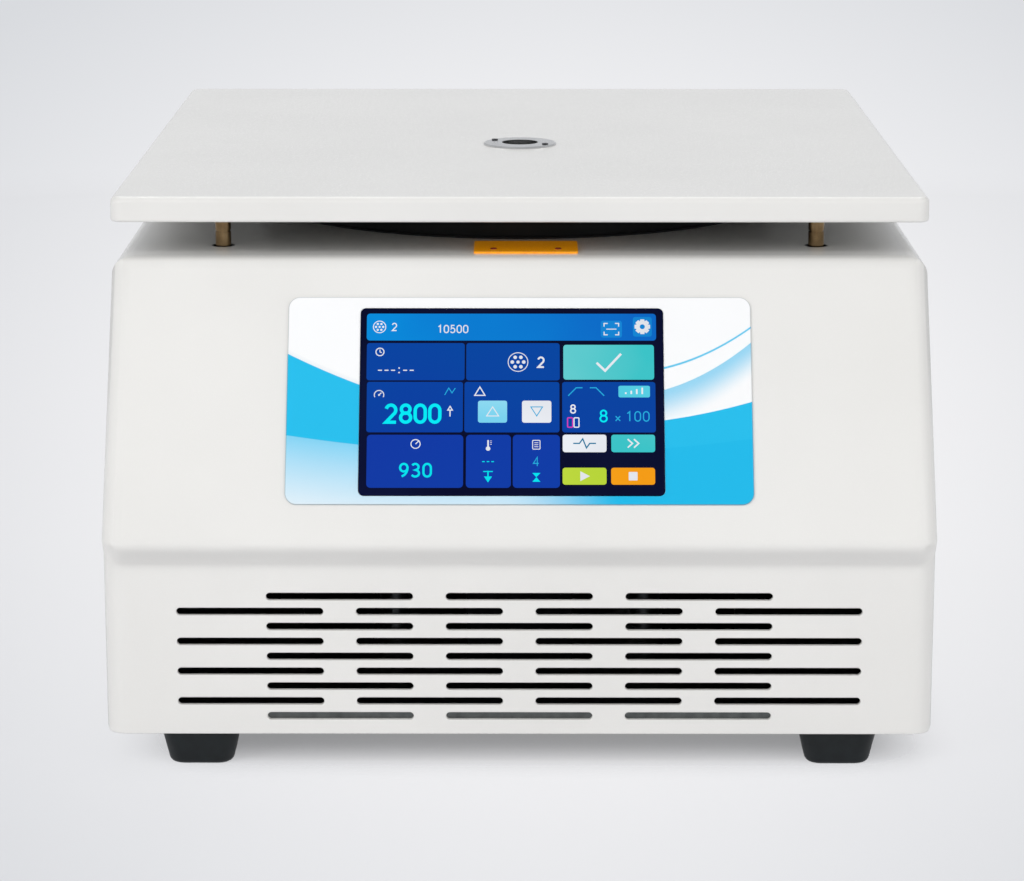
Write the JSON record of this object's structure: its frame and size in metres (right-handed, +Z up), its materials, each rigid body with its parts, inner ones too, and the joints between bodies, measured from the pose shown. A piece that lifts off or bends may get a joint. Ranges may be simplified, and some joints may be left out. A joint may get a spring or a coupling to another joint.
{
  "type": "laboratory centrifuge",
  "caption": "Benchtop laboratory centrifuge with a hinged flat lid, two locking pins, an angle rotor in a steel bowl, a leaning touch panel and a slotted front.",
  "frame": {"origin": "on the table, under the middle of the machine's outline", "axes": "+X to the right seen from the front, +Y to the back, +Z up"},
  "size_m": [0.453, 0.5726, 0.3068],
  "materials": {
    "housing_paint": "warm white powder coat, very fine texture, satin",
    "zinc_steel": "zinc-plated sheet and turned steel",
    "stainless": "bright stainless steel",
    "pin_steel": "turned steel with a pale bronze tint",
    "core_steel": "laminated core steel",
    "winding": "enamelled copper on laminations",
    "spacer_brass": "turned brass",
    "cast_alloy": "cast and turned aluminium, satin",
    "soft_rubber": "matt black rubber",
    "black_plastic": "fine-grained black plastic",
    "printed_sheet": "printed polyester sheet, white to cyan",
    "screen": "dark touch glass with a lit blue screen",
    "circuit_board": "green solder mask",
    "label_yellow": "yellow enamelled plate",
    "rivet_red": "dark red lacquer",
    "sight_glass": "clear sight glass"
  },
  "bodies": {
    "base": {"housing": "housing_paint", "tray": "zinc_steel", "rear_panel": "housing_paint", "rear_screws": "stainless", "feet": "soft_rubber", "foot_screws": "stainless", "bowl": "stainless", "guard_ring": "zinc_steel", "chamber_seal": "soft_rubber", "shaft_boot": "soft_rubber", "motor_pillars": "zinc_steel", "motor_dampers": "soft_rubber", "motor_plate": "zinc_steel", "motor_case": "cast_alloy", "motor_cap": "cast_alloy", "motor_bell": "cast_alloy", "motor_screws": "stainless", "stator": "winding", "upper_bearing": "stainless", "lower_bearing": "stainless", "overlay": "printed_sheet", "touch_glass": "screen", "display_module": "zinc_steel", "board_spacers": "spacer_brass", "main_board": "circuit_board", "drive_board": "circuit_board", "heatsink": "cast_alloy", "lock_frames": "zinc_steel", "lock_coils": "winding", "pin_bushes": "black_plastic", "hinge_blocks": "zinc_steel", "hinge_pins": "stainless", "hinge_springs": "stainless", "fan_frame": "black_plastic", "fan_guard": "stainless", "power_inlet": "black_plastic", "switch_frame": "black_plastic", "deck_plate": "label_yellow", "plate_rivets": "rivet_red"},
    "lid": {"lid_shell": "housing_paint", "lid_liner": "stainless", "lid_brace": "zinc_steel", "port_ring": "stainless", "port_glass": "sight_glass", "port_screws": "black_plastic", "lock_pins": "pin_steel", "pin_nuts": "stainless", "hinge_leaves": "zinc_steel"},
    "rotor": {"rotor_head": "cast_alloy", "rotor_knob": "black_plastic", "motor_shaft": "stainless", "motor_core": "core_steel"},
    "fan": {"fan_wheel": "black_plastic"},
    "bolt_left": {"left_bolt": "stainless"},
    "bolt_right": {"right_bolt": "stainless"},
    "switch": {"rocker": "black_plastic"},
    "fuse": {"fuse_drawer": "black_plastic"}
  },
  "joints": [
    {"name": "lid_hinge", "type": "hinge", "parent": "base", "child": "lid", "pos_m": [0, 0.272, 0.2815], "axis": [-1, 0, 0], "range_deg": [0, 80], "deforming": ["hinge_springs"]},
    {"name": "rotor_spin", "type": "hinge", "parent": "base", "child": "rotor", "pos_m": [0, 0.01, 0.15], "axis": [0, 0, 1], "continuous": true},
    {"name": "fan_spin", "type": "hinge", "parent": "base", "child": "fan", "pos_m": [-0.11, 0.27, 0.13], "axis": [0, 1, 0], "continuous": true},
    {"name": "left_bolt_slide", "type": "slide", "parent": "base", "child": "bolt_left", "axis": [-1, 0, 0], "range_m": [0, 0.0085]},
    {"name": "right_bolt_slide", "type": "slide", "parent": "base", "child": "bolt_right", "axis": [1, 0, 0], "range_m": [0, 0.0085]},
    {"name": "switch_tilt", "type": "hinge", "parent": "base", "child": "switch", "pos_m": [0.13, 0.279, 0.152], "axis": [1, 0, 0], "range_deg": [0, 24]},
    {"name": "fuse_slide", "type": "slide", "parent": "base", "child": "fuse", "axis": [0, 1, 0], "range_m": [0, 0.012]}
  ],
  "couplings": [
    {"joint": "right_bolt_slide", "follows": "left_bolt_slide", "ratio": 1}
  ]
}
